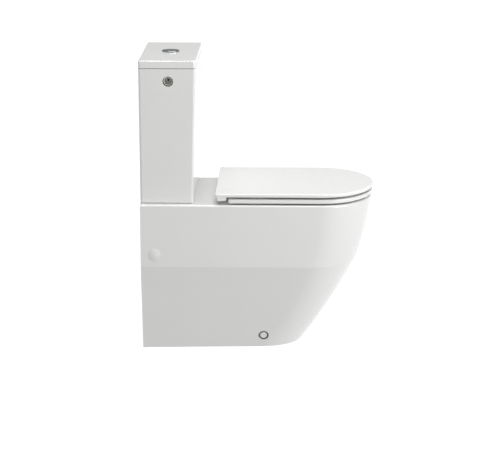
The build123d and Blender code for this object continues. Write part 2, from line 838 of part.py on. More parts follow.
# ---- Seat and cover ----


def seat_outline(inset, rear_reach):
    """The plan of the cover or the seat at a height of zero."""
    half = cover_width / 2 - inset
    tip = overall_reach - inset
    return nosed_outline(0, half, half, overall_reach - cover_nose_reach, tip, rear_reach)


def rounded_slab(outline, low, thickness, corner_radius, edge_radius):
    """A flat plate with rounded rear corners and softened edges."""
    slab = Pos(0, 0, low) * extrude(outline, thickness, dir=(0, 0, 1))
    rear = slab.edges().filter_by(Axis.Z).group_by(Axis.Y)[-1]
    slab = fillet(rear, corner_radius)
    rims = slab.faces().filter_by(Plane.XY)
    return fillet(rims.sort_by(Axis.Z)[-1].edges() + rims.sort_by(Axis.Z)[0].edges(), edge_radius)


def hinge_hull(x_low, x_high, rectangle):
    """A lug round the hinge axis that widens into a rectangle seen from the side."""
    reach_low, reach_high, z_low, z_high = rectangle
    axis_place = Pos(-hinge_axis_reach, hinge_axis_height)
    plate_place = Pos(-(reach_low + reach_high) / 2, (z_low + z_high) / 2)
    outlines = (axis_place * Circle(hinge_barrel_radius)).edges()
    outlines += (plate_place * Rectangle(reach_high - reach_low, z_high - z_low)).edges()
    return extrude(Plane.YZ.offset(x_low) * make_hull(outlines), x_high - x_low)


def hinge_stations():
    """X limits of the post, of the cover's ear inside it and of the seat's ear outside it."""
    post = (hinge_x - post_width / 2, hinge_x + post_width / 2)
    cover_ear = (post[0] - ear_gap - ear_width, post[0] - ear_gap)
    seat_ear = (post[1] + ear_gap, post[1] + ear_gap + ear_width)
    return post, cover_ear, seat_ear


def hinge_bar(radius, x_low, x_high):
    return cross_bar(radius, x_low, x_high, hinge_axis_reach, hinge_axis_height)


def make_seat():
    middle = overall_reach - seat_hole_front_land - seat_hole_length / 2
    hole = Pos(0, -middle) * Ellipse(seat_hole_width / 2, seat_hole_length / 2)
    outline = seat_outline(seat_inset, seat_rear_reach) - hole
    ring = rounded_slab(outline, seat_bottom, seat_thickness, seat_corner_radius, seat_edge_radius)
    ear = hinge_stations()[2]
    root = (hinge_axis_reach + seat_arm_start, seat_rear_reach + seat_arm_end)
    arm = hinge_hull(*ear, (*root, seat_bottom + overlap, seat_top - overlap))
    arm -= hinge_bar(damper_radius + thread_gap, ear[0] - cut_past, ear[1] + cut_past)
    return ring + arm + arm.mirror(Plane.YZ)


def make_cover():
    outline = seat_outline(0, cover_rear_reach)
    plate = rounded_slab(outline, cover_bottom, cover_thickness, cover_corner_radius, cover_edge_radius)
    ear = hinge_stations()[1]
    root = (cover_rear_reach + overlap, cover_rear_reach + cover_arm_end)
    arm = hinge_hull(*ear, (*root, cover_bottom - cover_arm_depth, cover_bottom + cover_arm_depth))
    arm -= hinge_bar(damper_radius + thread_gap, ear[0] - cut_past, ear[1] + cut_past)
    lug_outer = cover_width / 2 - lug_inset
    rear = cover_rear_reach + lug_rear_inset
    low = cover_bottom - lug_drop
    side = Plane(at(0, 0, lug_outer - lug_width), x_dir=(0, -1, 0), z_dir=(-1, 0, 0))
    profile = Polyline(
        (rear, cover_bottom + lug_root),
        (rear, low),
        (lug_front_reach - lug_slope, low),
        (lug_front_reach, cover_bottom + lug_root),
        close=True,
    )
    lug = extrude(side * make_face(profile), -lug_width)
    lug = fillet(lug.edges().filter_by(Axis.X).group_by(Axis.Z)[0], lug_radius)
    for piece in (arm, lug):
        plate += piece
        plate += piece.mirror(Plane.YZ)
    return plate


def buffers(places, low, high):
    """Rounded rubber pads, one at each place on each side."""
    pads = []
    for x, reach in places:
        pad = extrude(Pos(x, -reach, low) * SlotOverall(buffer_length, buffer_width, rotation=90), high - low)
        pads.append(pad)
    return mirrored(Compound(children=pads))


def buffer_places(rim_share):
    """A front and a rear place on the seat ring, a share of the way out from its hole."""
    hole_half = seat_hole_width / 2
    side_x = between(hole_half, cover_width / 2, rim_share)
    rear_reach = overall_reach - seat_hole_front_land - seat_hole_length - buffer_rear_gap
    front_reach = overall_reach - cover_nose_reach / 2
    return [(side_x * buffer_front_share, front_reach), (side_x, rear_reach)]


def make_seat_buffers():
    return buffers(buffer_places(seat_buffer_share), rim_height + buffer_gap, seat_bottom)


def make_cover_buffers():
    return buffers(buffer_places(cover_buffer_share), seat_top + buffer_gap, cover_bottom)


def make_hinge_posts():
    post = hinge_stations()[0]
    base_low = rim_height + post_pad_thickness
    base_top = base_low + post_base_thickness
    base = Pos(hinge_x, -hinge_stud_reach, base_low + post_base_thickness / 2)
    body = base * Cylinder(post_base_radius, post_base_thickness)
    foot = (hinge_axis_reach - post_foot_rear, hinge_stud_reach + post_foot_front)
    body += hinge_hull(*post, (*foot, base_low, base_top + overlap))
    body -= hinge_bar(hinge_pin_radius + thread_gap / 2, post[0] - cut_past, post[1] + cut_past)
    body -= Pos(hinge_x, -hinge_stud_reach, base_low) * Cylinder(stud_radius + thread_gap, 2 * stud_grip)
    return mirrored(body)


def stud_pair(shape):
    """A pair of pieces on the two hinge studs' lines."""
    return mirrored(Pos(hinge_x, -hinge_stud_reach, 0) * shape)


def make_hinge_pads():
    high = rim_height + post_pad_thickness
    return stud_pair(washer(post_base_radius - post_pad_setback, bush_radius, rim_height, high))


def make_hinge_studs():
    top = rim_height + post_pad_thickness + stud_grip
    return stud_pair(Pos(0, 0, top - stud_length / 2) * Cylinder(stud_radius, stud_length))


def make_hinge_bushes():
    low = deck_underside - bush_drop
    high = low + bush_length
    return stud_pair(washer(bush_radius, stud_radius + thread_gap, low, high))


def make_hinge_nuts():
    high = deck_underside - bush_drop
    low = high - stud_nut_height
    body = extrude(Pos(0, 0, low) * RegularPolygon(stud_nut_radius, 6), stud_nut_height)
    return stud_pair(body - Cylinder(stud_radius + thread_gap, 3 * high))


def make_hinge_pins():
    post, cover_ear, seat_ear = hinge_stations()
    return mirrored(hinge_bar(hinge_pin_radius, cover_ear[0] + pin_setback, seat_ear[1] - pin_setback))


def make_damper(ear):
    body = hinge_bar(damper_radius, ear[0] + pin_setback, ear[1] - pin_setback)
    return mirrored(body - hinge_bar(hinge_pin_radius + thread_gap, ear[0], ear[1]))


pieces = {
    "pan": make_pan,
    "floor_brackets": make_floor_brackets,
    "fixing_screws": make_fixing_screws,
    "fixing_rings": make_fixing_rings,
    "fixing_caps": make_fixing_caps,
    "service_caps": make_service_caps,
    "cistern": make_cistern,
    "cistern_gasket": make_cistern_gasket,
    "cistern_bolts": make_cistern_bolts,
    "bolt_rubber_washers": make_bolt_rubber_washers,
    "bolt_steel_washers": make_bolt_steel_washers,
    "wing_nuts": make_wing_nuts,
    "cistern_lid": make_cistern_lid,
    "lid_pads": make_lid_pads,
    "button_bezel": make_button_bezel,
    "bezel_nut": make_bezel_nut,
    "full_flush_button": lambda: make_button(1),
    "half_flush_button": lambda: make_button(-1),
    "full_flush_rod": lambda: make_push_rod(1),
    "half_flush_rod": lambda: make_push_rod(-1),
    "flush_valve_base": make_flush_valve_base,
    "flush_valve_washer": make_valve_washer,
    "flush_valve_nut": make_valve_nut,
    "flush_valve_tower": make_valve_tower,
    "flush_valve_cap": make_valve_cap,
    "overflow_tube": make_overflow_tube,
    "flush_seal": make_flush_seal,
    "fill_valve": make_fill_valve,
    "fill_valve_washer": make_fill_washer,
    "float_cup": make_float,
    "float_rod": make_float_rod,
    "seat_ring": make_seat,
    "seat_buffers": make_seat_buffers,
    "seat_cover": make_cover,
    "cover_buffers": make_cover_buffers,
    "hinge_posts": make_hinge_posts,
    "hinge_pads": make_hinge_pads,
    "hinge_studs": make_hinge_studs,
    "hinge_bushes": make_hinge_bushes,
    "hinge_nuts": make_hinge_nuts,
    "hinge_pins": make_hinge_pins,
    "seat_dampers": lambda: make_damper(hinge_stations()[2]),
    "cover_dampers": lambda: make_damper(hinge_stations()[1]),
}

os.makedirs("parts", exist_ok=True)
for name, make in pieces.items():
    export_part(name, make())
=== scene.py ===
"""Looks of a close coupled toilet: glazes, plastics, metals, threads and a studio."""

import math

import bpy
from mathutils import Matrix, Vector


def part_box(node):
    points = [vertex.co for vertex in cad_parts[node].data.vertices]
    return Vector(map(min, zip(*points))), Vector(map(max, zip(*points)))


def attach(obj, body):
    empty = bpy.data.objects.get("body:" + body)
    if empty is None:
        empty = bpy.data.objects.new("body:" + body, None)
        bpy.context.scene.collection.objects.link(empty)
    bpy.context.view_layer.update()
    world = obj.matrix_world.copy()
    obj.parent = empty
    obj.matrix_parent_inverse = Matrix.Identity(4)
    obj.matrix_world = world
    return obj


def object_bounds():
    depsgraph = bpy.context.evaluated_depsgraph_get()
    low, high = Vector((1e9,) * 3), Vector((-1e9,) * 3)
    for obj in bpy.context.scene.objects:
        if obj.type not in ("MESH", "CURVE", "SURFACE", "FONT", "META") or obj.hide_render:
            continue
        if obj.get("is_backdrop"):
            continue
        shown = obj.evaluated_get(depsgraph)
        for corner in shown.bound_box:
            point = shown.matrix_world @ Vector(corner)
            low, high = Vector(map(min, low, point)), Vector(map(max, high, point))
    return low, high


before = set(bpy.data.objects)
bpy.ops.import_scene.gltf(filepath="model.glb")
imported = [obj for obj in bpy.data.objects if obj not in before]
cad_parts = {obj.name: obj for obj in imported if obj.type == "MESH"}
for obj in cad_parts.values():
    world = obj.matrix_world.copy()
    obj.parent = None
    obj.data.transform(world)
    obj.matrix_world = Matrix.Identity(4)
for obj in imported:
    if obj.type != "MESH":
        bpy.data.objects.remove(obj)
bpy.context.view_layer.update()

bl_info = {
    "name": "Close coupled toilet",
    "version": (1, 0, 0),
    "blender": (4, 5, 0),
    "location": "3D View > Sidebar > Toilet",
    "description": "Finishes and fittings of a back-to-wall close coupled toilet",
    "category": "Object",
}

MM = 0.001


def linear(hex_colour):
    """An sRGB hex colour as linear red, green and blue."""
    channels = [int(hex_colour[i : i + 2], 16) / 255 for i in (1, 3, 5)]
    return tuple(c / 12.92 if c <= 0.04045 else ((c + 0.055) / 1.055) ** 2.4 for c in channels)


def colour(name, description, default):
    """A colour that the user can change."""
    return bpy.props.FloatVectorProperty(
        name=name, description=description, subtype="COLOR", size=3, min=0, max=1, default=linear(default)
    )


def millimetres(name, description, default):
    """A length in millimetres that the user can change."""
    return bpy.props.FloatProperty(name=name, description=description, default=default, min=0)


def position(name, description, default):
    """A point in metres that the user can change."""
    return bpy.props.FloatVectorProperty(
        name=name, description=description, subtype="TRANSLATION", unit="LENGTH", default=default
    )


def number(name, description, default):
    """A plain number that the user can change."""
    return bpy.props.FloatProperty(name=name, description=description, default=default, min=0)


def degrees(name, description, default):
    """An angle, given here in degrees, that the user can change."""
    return bpy.props.FloatProperty(
        name=name, description=description, subtype="ANGLE", default=math.radians(default)
    )


class ToiletFinishes(bpy.types.PropertyGroup):
    """Colours of the toilet's materials"""

    glaze: colour("Glaze", "White glaze on the china", "#EEEEEC")
    glaze_pooled: colour("Pooled glaze", "Glaze where it has run thicker", "#EAEBE9")
    bisque: colour("Bisque", "Fired clay that the glaze doesn't cover", "#DDD8CC")
    duroplast: colour("Seat", "Seat and cover", "#F4F4F2")
    trim: colour("Trim", "Caps in the skirt", "#F2F2F0")
    chrome: colour("Chrome", "Flush buttons and their bezel", "#A6A8AA")
    steel: colour("Steel", "Stainless hinge posts and pins", "#B9B8B5")
    zinc: colour("Zinc", "Plated bolts, studs and washers", "#B4B7BA")
    brass: colour("Brass", "Wing nuts", "#C6A15A")
    rubber: colour("Rubber", "Black seals and washers", "#1B1B1C")
    buffer: colour("Buffers", "Soft buffers under the seat and cover", "#D9DADA")
    silicone: colour("Silicone", "Flush seal", "#8C2A22")
    valve_white: colour("White valve plastic", "Flush valve and float", "#E4E4DF")
    valve_blue: colour("Blue valve plastic", "Valve cap and rods", "#2F5D9C")
    nylon_black: colour("Black nylon", "Fill valve", "#151516")
    nylon_grey: colour("Grey nylon", "Dampers and fixing rings", "#6A6C6E")


class ToiletSizes(bpy.types.PropertyGroup):
    """Sizes of the small shapes that are added to the toilet"""

    china_edge: millimetres("China edge", "Rounding that the glaze gives a cut edge", 1.2)
    skirt_wall: millimetres("Skirt wall", "Least depth of the skirt's bare inner faces", 6.0)
    crease_height: millimetres("Crease height", "Height where the skirt starts to lean in", 250.0)
    foot_rear_inset: millimetres("Rear inset", "How far the foot leans in at the wall", 48.0)
    foot_front_inset: millimetres("Front inset", "How far the foot leans in where the nose starts", 66.0)
    nose_start: millimetres("Nose start", "Distance from the wall to the nose of the foot", 340.0)
    glaze_line: millimetres("Glaze line", "Depth of the glaze inside the skirt, below the shelf", 52.0)
    bare_depth: millimetres("Bare depth", "Distance from the wall to the front of the bare clay", 295.0)
    plastic_edge: millimetres("Plastic edge", "Rounding of a moulded edge", 0.5)
    metal_edge: millimetres("Metal edge", "Rounding of a machined edge", 0.3)
    button_edge: millimetres("Button edge", "Rounding of the flush buttons", 0.6)
    bolt_radius: millimetres("Bolt radius", "Shank radius of the cistern bolts and the hinge studs", 4.0)
    bolt_head_radius: millimetres("Bolt head", "Head radius of the cistern bolts", 9.0)
    bolt_pitch: millimetres("Bolt pitch", "Thread pitch of bolts and studs", 1.25)
    sleeve_radius: millimetres("Sleeve radius", "Radius of the sleeve under the flush buttons", 22.4)
    sleeve_pitch: millimetres("Sleeve pitch", "Thread pitch of the button sleeve", 3.0)
    tail_length: millimetres("Inlet tail", "Length of the fill valve's white tail", 19.0)
    thread_ridge: millimetres("Thread ridge", "How far a thread stands out from its shank", 0.25)


class ToiletStage(bpy.types.PropertyGroup):
    """Camera and studio"""

    camera_place: position("Camera", "Place of the camera", (-5.1197, -0.0987, 1.6052))
    camera_pitch: degrees("Pitch", "How far the camera looks down", 14.013)
    camera_turn: degrees("Turn", "Camera's turn towards the wall", 1.378)
    camera_lens: number("Lens", "Focal length in millimetres, on a sensor 36 mm wide", 132.5)
    floor_colour: colour("Floor", "Studio floor", "#FFFFFF")
    room_above: number("Room above", "Strength of the light from the upper room", 0.34)
    room_below: number("Room below", "Strength of the light from the lower room", 0.52)
    front_place: position("Front softbox", "Place of the front softbox", (-1.8, -2.6, 0.5))
    front_width: number("Front width", "Width of the front softbox, in metres", 1.8)
    front_height: number("Front height", "Height of the front softbox, in metres", 1.6)
    front_light: number("Front light", "Power of the front softbox, in watts", 56)
    top_place: position("Top softbox", "Place of the overhead softbox", (-0.3, -0.15, 3.4))
    top_width: number("Top width", "Width of the square overhead softbox, in metres", 2.4)
    top_light: number("Top light", "Power of the overhead softbox, in watts", 92)
    floor_width: number("Floor width", "Width of the studio floor, in metres", 60)
    horizon_blend: number("Horizon blend", "How far from the horizon the room's two lights mix", 0.15)


# ---- Helpers for nodes and pieces ----


def add_node(tree, kind, settings=None, links=None):
    """Adds a shader node, sets its properties and sockets, and links its inputs."""
    node = tree.nodes.new(kind)
    for name, value in (settings or {}).items():
        if isinstance(name, int) or name in node.inputs:
            node.inputs[name].default_value = value
        else:
            setattr(node, name, value)
    for name, source in (links or {}).items():
        tree.links.new(source, node.inputs[name])
    return node


def new_material(name):
    """A material with an empty tree and its output node."""
    material = bpy.data.materials.new(name)
    material.use_nodes = True
    tree = material.node_tree
    tree.nodes.clear()
    output = add_node(tree, "ShaderNodeOutputMaterial")
    return material, tree, output


def per_mm(size):
    """Noise scale that makes features about this many millimetres across."""
    return 1 / (size * MM)


def deselect():
    """Leaves edit mode with nothing selected."""
    if bpy.context.mode != "OBJECT":
        bpy.ops.object.mode_set(mode="OBJECT")
    bpy.ops.object.select_all(action="DESELECT")


def named(name):
    """The piece just added, with its name."""
    piece = bpy.context.object
    piece.name = name
    piece.data.name = name
    return piece


def settle(piece):
    """Puts the piece's place into its mesh and points its faces outwards."""
    deselect()
    piece.select_set(True)
    bpy.context.view_layer.objects.active = piece
    bpy.ops.object.transform_apply(location=True, rotation=True, scale=True)
    bpy.ops.object.mode_set(mode="EDIT")
    bpy.ops.mesh.select_all(action="SELECT")
    bpy.ops.mesh.remove_doubles(threshold=1e-6)
    bpy.ops.mesh.normals_make_consistent(inside=False)
    bpy.ops.object.mode_set(mode="OBJECT")
    bpy.ops.object.shade_smooth_by_angle(angle=math.radians(35))


def paint(piece, material):
    """Gives a piece one material all over."""
    piece.data.materials.clear()
    piece.data.materials.append(material)


def dress(node, material, edge=0.0):
    """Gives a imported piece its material, and softens its edges by a number of millimetres."""
    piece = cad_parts[node]
    paint(piece, material)
    if edge:
        weld = piece.modifiers.new("Weld", "WELD")
        weld.merge_threshold = 1e-6
        bevel = piece.modifiers.new("Edges", "BEVEL")
        bevel.width = edge * MM
        bevel.segments = 3
        bevel.angle_limit = math.radians(50)
        bevel.use_clamp_overlap = True
        bevel.harden_normals = False
        normals = piece.modifiers.new("Normals", "WEIGHTED_NORMAL")
        normals.keep_sharp = True


def belong(piece, body, material):
    """Makes a new piece part of a moving body, under a material slot."""
    paint(piece, material)
    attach(piece, body)


# ---- Materials ----


def surface_bump(tree, place, waves, strength):
    """Height from noise layers, each (feature size in mm, height in mm)."""
    normal = None
    for size, height in waves:
        noise = add_node(
            tree, "ShaderNodeTexNoise", {"Scale": per_mm(size), "Detail": 2.0, "Roughness": 0.5},
            {"Vector": place},
        )
        links = {"Height": noise.outputs["Fac"]}
        if normal:
            links["Normal"] = normal
        bump = add_node(tree, "ShaderNodeBump", {"Strength": strength, "Distance": height * MM}, links)
        normal = bump.outputs["Normal"]
    return normal


def mottled(tree, place, size, first, second):
    """Two close colours, mixed by noise."""
    noise = add_node(tree, "ShaderNodeTexNoise", {"Scale": per_mm(size), "Detail": 3.0}, {"Vector": place})
    mix = add_node(
        tree, "ShaderNodeMix", {"data_type": "RGBA", 6: (*first, 1), 7: (*second, 1)},
        {0: noise.outputs["Fac"]},
    )
    return mix.outputs[2]


def shade(value, share):
    """A colour made darker or lighter by a share."""
    return tuple(min(1.0, c * share) for c in value)


def roughness_range(tree, place, size, low, high):
    """Roughness that wanders between two values."""
    noise = add_node(tree, "ShaderNodeTexNoise", {"Scale": per_mm(size), "Detail": 4.0}, {"Vector": place})
    return mapped(tree, noise.outputs["Fac"], (0.3, 0.7), (low, high))


def computed(tree, operation, first, second):
    """A Math node on two values, each a number or a socket."""
    settings, links = {"operation": operation}, {}
    for socket, value in enumerate((first, second)):
        target = settings if isinstance(value, float) else links
        target[socket] = value
    return add_node(tree, "ShaderNodeMath", settings, links).outputs[0]


def mapped(tree, value, source, target):
    """A value carried from one range to another."""
    settings = {"From Min": source[0], "From Max": source[1], "To Min": target[0], "To Max": target[1]}
    return add_node(tree, "ShaderNodeMapRange", settings, {"Value": value}).outputs["Result"]


def skirt_inside(tree, place, sizes):
    """1 on the pan's surface inside the skirt: behind the bowl, within the walls and below the glaze line."""
    pan_low, pan_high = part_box("pan")
    wall_y = pan_high.y
    axes = add_node(tree, "ShaderNodeSeparateXYZ", {}, {"Vector": place})
    across = add_node(tree, "ShaderNodeMath", {"operation": "ABSOLUTE"}, {0: axes.outputs["X"]}).outputs[0]
    insets = (sizes.foot_front_inset * MM, sizes.foot_rear_inset * MM)
    foot_inset = mapped(tree, axes.outputs["Y"], (wall_y - sizes.nose_start * MM, wall_y), insets)
    lean = mapped(tree, axes.outputs["Z"], (0.0, sizes.crease_height * MM), (1.0, 0.0))
    inset = computed(tree, "MULTIPLY", foot_inset, lean)
    wall = computed(tree, "SUBTRACT", pan_high.x - sizes.skirt_wall * MM, inset)
    within = computed(tree, "LESS_THAN", across, wall)
    below = computed(tree, "LESS_THAN", axes.outputs["Z"], pan_high.z - sizes.glaze_line * MM)
    behind = computed(tree, "GREATER_THAN", axes.outputs["Y"], wall_y - sizes.bare_depth * MM)
    return computed(tree, "MULTIPLY", computed(tree, "MULTIPLY", within, below), behind)


def glazed_vitreous_china(finish, name, bare_sizes=None):
    """Vitreous china under a sprayed white glaze: hard, mirror-clear shine over faintly wavy clay."""
    material, tree, output = new_material(name)
    place = add_node(tree, "ShaderNodeTexCoord").outputs["Object"]
    body = mottled(tree, place, 90, tuple(finish.glaze), tuple(finish.glaze_pooled))
    # Sprayed glaze levels out to waves some centimetres long, with a trace of orange peel.
    normal = surface_bump(tree, place, [(45, 0.10), (6, 0.008)], 0.5)
    glaze = add_node(
        tree, "ShaderNodeBsdfPrincipled",
        {"Roughness": 0.16, "IOR": 1.5, "Coat Weight": 0.6, "Coat Roughness": 0.03, "Coat IOR": 1.5},
        {"Base Color": body, "Normal": normal, "Coat Normal": normal},
    )
    shader = glaze.outputs[0]
    if bare_sizes:
        clay = mottled(tree, place, 25, tuple(finish.bisque), shade(finish.bisque, 0.9))
        grain = surface_bump(tree, place, [(8, 0.15), (1.0, 0.05)], 0.6)
        bisque = add_node(
            tree, "ShaderNodeBsdfPrincipled", {"Roughness": 0.75, "IOR": 1.5},
            {"Base Color": clay, "Normal": grain},
        )
        mix = add_node(
            tree, "ShaderNodeMixShader", {},
            {0: skirt_inside(tree, place, bare_sizes), 1: glaze.outputs[0], 2: bisque.outputs[0]},
        )
        shader = mix.outputs[0]
    tree.links.new(shader, output.inputs["Surface"])
    return material


def moulded_duroplast(finish):
    """Urea moulding, pressed and polished: denser and a little softer in its shine than the glaze."""
    material, tree, output = new_material("moulded_duroplast")
    place = add_node(tree, "ShaderNodeTexCoord").outputs["Object"]
    body = mottled(tree, place, 60, tuple(finish.duroplast), shade(finish.duroplast, 0.985))
    normal = surface_bump(tree, place, [(30, 0.03), (1.5, 0.003)], 0.5)
    rough = roughness_range(tree, place, 20, 0.14, 0.22)
    shader = add_node(
        tree, "ShaderNodeBsdfPrincipled", {"IOR": 1.55, "Coat Weight": 0.25, "Coat Roughness": 0.08},
        {"Base Color": body, "Roughness": rough, "Normal": normal},
    )
    tree.links.new(shader.outputs[0], output.inputs["Surface"])
    return material


def moulded_plastic(name, tint, rough_low, rough_high, grain):
    """An injection-moulded piece: even colour, with the tool's fine grain in its sheen."""
    material, tree, output = new_material(name)
    place = add_node(tree, "ShaderNodeTexCoord").outputs["Object"]
    body = mottled(tree, place, 18, tuple(tint), shade(tint, 0.94))
    normal = surface_bump(tree, place, [(12, 0.03), (grain, 0.01)], 0.5)
    rough = roughness_range(tree, place, 6, rough_low, rough_high)
    shader = add_node(
        tree, "ShaderNodeBsdfPrincipled", {"IOR": 1.48},
        {"Base Color": body, "Roughness": rough, "Normal": normal},
    )
    tree.links.new(shader.outputs[0], output.inputs["Surface"])
    return material


def two_shot_nylon(finish, border):
    """Fill valve moulding: a white inlet tail, up to a border on the X axis, on a black body."""
    material, tree, output = new_material("moulded_two_shot_nylon")
    place = add_node(tree, "ShaderNodeTexCoord").outputs["Object"]
    axes = add_node(tree, "ShaderNodeSeparateXYZ", {}, {"Vector": place})
    tail = add_node(tree, "ShaderNodeMath", {"operation": "LESS_THAN", 1: border}, {0: axes.outputs["X"]})
    black = mottled(tree, place, 18, tuple(finish.nylon_black), shade(finish.nylon_black, 1.2))
    white = mottled(tree, place, 18, tuple(finish.valve_white), shade(finish.valve_white, 0.94))
    body = add_node(tree, "ShaderNodeMix", {"data_type": "RGBA"}, {0: tail.outputs[0], 6: black, 7: white})
    normal = surface_bump(tree, place, [(12, 0.03), (0.8, 0.01)], 0.5)
    rough = roughness_range(tree, place, 6, 0.38, 0.5)
    shader = add_node(
        tree, "ShaderNodeBsdfPrincipled", {"IOR": 1.5},
        {"Base Color": body.outputs[2], "Roughness": rough, "Normal": normal},
    )
    tree.links.new(shader.outputs[0], output.inputs["Surface"])
    return material


def soft_rubber(name, tint, rough):
    """Moulded rubber: dull, a little dusty, with a soft grain."""
    material, tree, output = new_material(name)
    place = add_node(tree, "ShaderNodeTexCoord").outputs["Object"]
    body = mottled(tree, place, 7, tuple(tint), shade(tint, 1.35))
    normal = surface_bump(tree, place, [(3, 0.03), (0.6, 0.015)], 0.7)
    shader = add_node(
        tree, "ShaderNodeBsdfPrincipled", {"Roughness": rough, "IOR": 1.5, "Sheen Weight": 0.08},
        {"Base Color": body, "Normal": normal},
    )
    tree.links.new(shader.outputs[0], output.inputs["Surface"])
    return material


def satin_chrome(finish):
    """Satin chromium plate: a cool, even sheen that blurs what it mirrors."""
    material, tree, output = new_material("satin_chrome")
    place = add_node(tree, "ShaderNodeTexCoord").outputs["Object"]
    rough = roughness_range(tree, place, 3, 0.20, 0.28)
    normal = surface_bump(tree, place, [(9, 0.01)], 0.4)
    shader = add_node(
        tree, "ShaderNodeBsdfPrincipled", {"Base Color": (*finish.chrome, 1), "Metallic": 1.0},
        {"Roughness": rough, "Normal": normal},
    )
    tree.links.new(shader.outputs[0], output.inputs["Surface"])
    return material


def worked_metal(name, tint, rough_low, rough_high, line):
    """Machined or plated metal: tool lines a few tenths of a millimetre apart, under patchy sheen."""
    material, tree, output = new_material(name)
    place = add_node(tree, "ShaderNodeTexCoord").outputs["Object"]
    stretched = add_node(tree, "ShaderNodeMapping", {"Scale": (0.08, 0.08, 1.0)}, {"Vector": place})
    lines = add_node(
        tree, "ShaderNodeTexNoise", {"Scale": per_mm(line), "Detail": 3.0}, {"Vector": stretched.outputs[0]}
    )
    bump = add_node(
        tree, "ShaderNodeBump", {"Strength": 0.5, "Distance": 0.01 * MM}, {"Height": lines.outputs["Fac"]}
    )
    body = mottled(tree, place, 5, tuple(tint), shade(tint, 0.88))
    rough = roughness_range(tree, place, 4, rough_low, rough_high)
    shader = add_node(
        tree, "ShaderNodeBsdfPrincipled", {"Metallic": 1.0},
        {"Base Color": body, "Roughness": rough, "Normal": bump.outputs["Normal"]},
    )
    tree.links.new(shader.outputs[0], output.inputs["Surface"])
    return material


# ---- Shaped pieces ----


def thread(name, centre, radius, low, high, pitch, ridge):
    """A thread's ridge on an upright shank: a three-sided profile, swept round by a Screw modifier."""
    deselect()
    place = Vector((centre[0], centre[1], low + pitch / 2))
    bpy.ops.mesh.primitive_circle_add(vertices=3, radius=pitch / 2, location=place)
    piece = named(name)
    bpy.ops.object.mode_set(mode="EDIT")
    bpy.ops.mesh.select_all(action="SELECT")
    bpy.ops.transform.rotate(value=math.pi / 2, orient_axis="X", center_override=place)
    bpy.ops.transform.rotate(value=-math.pi / 2, orient_axis="Y", center_override=place)
    bpy.ops.transform.resize(value=(ridge * 2 / pitch, 1, 0.9), center_override=place)
    bpy.ops.transform.translate(value=(radius, 0, 0))
    bpy.ops.object.mode_set(mode="OBJECT")
    screw = piece.modifiers.new("Thread", "SCREW")
    screw.axis = "Z"
    screw.screw_offset = pitch
    screw.iterations = int((high - low) / pitch) - 1
    screw.steps = 48
    screw.render_steps = 48
    screw.use_normal_calculate = True
    bpy.ops.object.modifier_apply(modifier="Thread")
    settle(piece)
    return piece


# ---- Operators ----


class TOILET_OT_china(bpy.types.Operator):
    """Glaze the pan, the cistern and its lid"""

    bl_idname = "toilet.china"
    bl_label = "China"

    def execute(self, context):
        finish = context.scene.toilet_finishes
        sizes = context.scene.toilet_sizes
        glazed = glazed_vitreous_china(finish, "glazed_vitreous_china")
        dress("pan", glazed_vitreous_china(finish, "part_glazed_vitreous_china", sizes))
        dress("cistern", glazed, sizes.china_edge)
        dress("cistern_lid", glazed, sizes.china_edge)
        return {"FINISHED"}


class TOILET_OT_seat(bpy.types.Operator):
    """Finish the seat ring, the cover and their buffers"""

    bl_idname = "toilet.seat"
    bl_label = "Seat and cover"

    def execute(self, context):
        finish = context.scene.toilet_finishes
        duroplast = moulded_duroplast(finish)
        buffer = soft_rubber("moulded_soft_buffer", finish.buffer, 0.5)
        for node in ("seat_ring", "seat_cover"):
            dress(node, duroplast)
        for node in ("seat_buffers", "cover_buffers", "lid_pads"):
            dress(node, buffer, 0.5)
        return {"FINISHED"}


class TOILET_OT_buttons(bpy.types.Operator):
    """Plate the flush buttons and their bezel"""

    bl_idname = "toilet.buttons"
    bl_label = "Flush buttons"

    def execute(self, context):
        finish = context.scene.toilet_finishes
        edge = context.scene.toilet_sizes.button_edge
        chrome = satin_chrome(finish)
        for node in ("full_flush_button", "half_flush_button", "button_bezel"):
            dress(node, chrome, edge)
        return {"FINISHED"}


class TOILET_OT_valves(bpy.types.Operator):
    """Finish what is inside the cistern"""

    bl_idname = "toilet.valves"
    bl_label = "Valves"

    def execute(self, context):
        finish = context.scene.toilet_finishes
        edge = context.scene.toilet_sizes.plastic_edge
        white = moulded_plastic("moulded_white_acetal", finish.valve_white, 0.32, 0.45, 0.8)
        blue = moulded_plastic("moulded_blue_polypropylene", finish.valve_blue, 0.35, 0.5, 0.8)
        tail_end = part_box("fill_valve")[0].x + context.scene.toilet_sizes.tail_length * MM
        rubber = soft_rubber("moulded_black_rubber", finish.rubber, 0.7)
        silicone = soft_rubber("moulded_red_silicone", finish.silicone, 0.45)
        for node in (
            "flush_valve_base", "flush_valve_nut", "flush_valve_tower", "overflow_tube", "float_cup",
            "full_flush_rod", "bezel_nut",
        ):
            dress(node, white, edge)
        for node in ("flush_valve_cap", "half_flush_rod", "float_rod"):
            dress(node, blue, edge)
        for node in ("flush_valve_washer", "fill_valve_washer", "cistern_gasket", "bolt_rubber_washers"):
            dress(node, rubber, edge)
        dress("fill_valve", two_shot_nylon(finish, tail_end), edge)
        dress("flush_seal", silicone, edge)
        return {"FINISHED"}


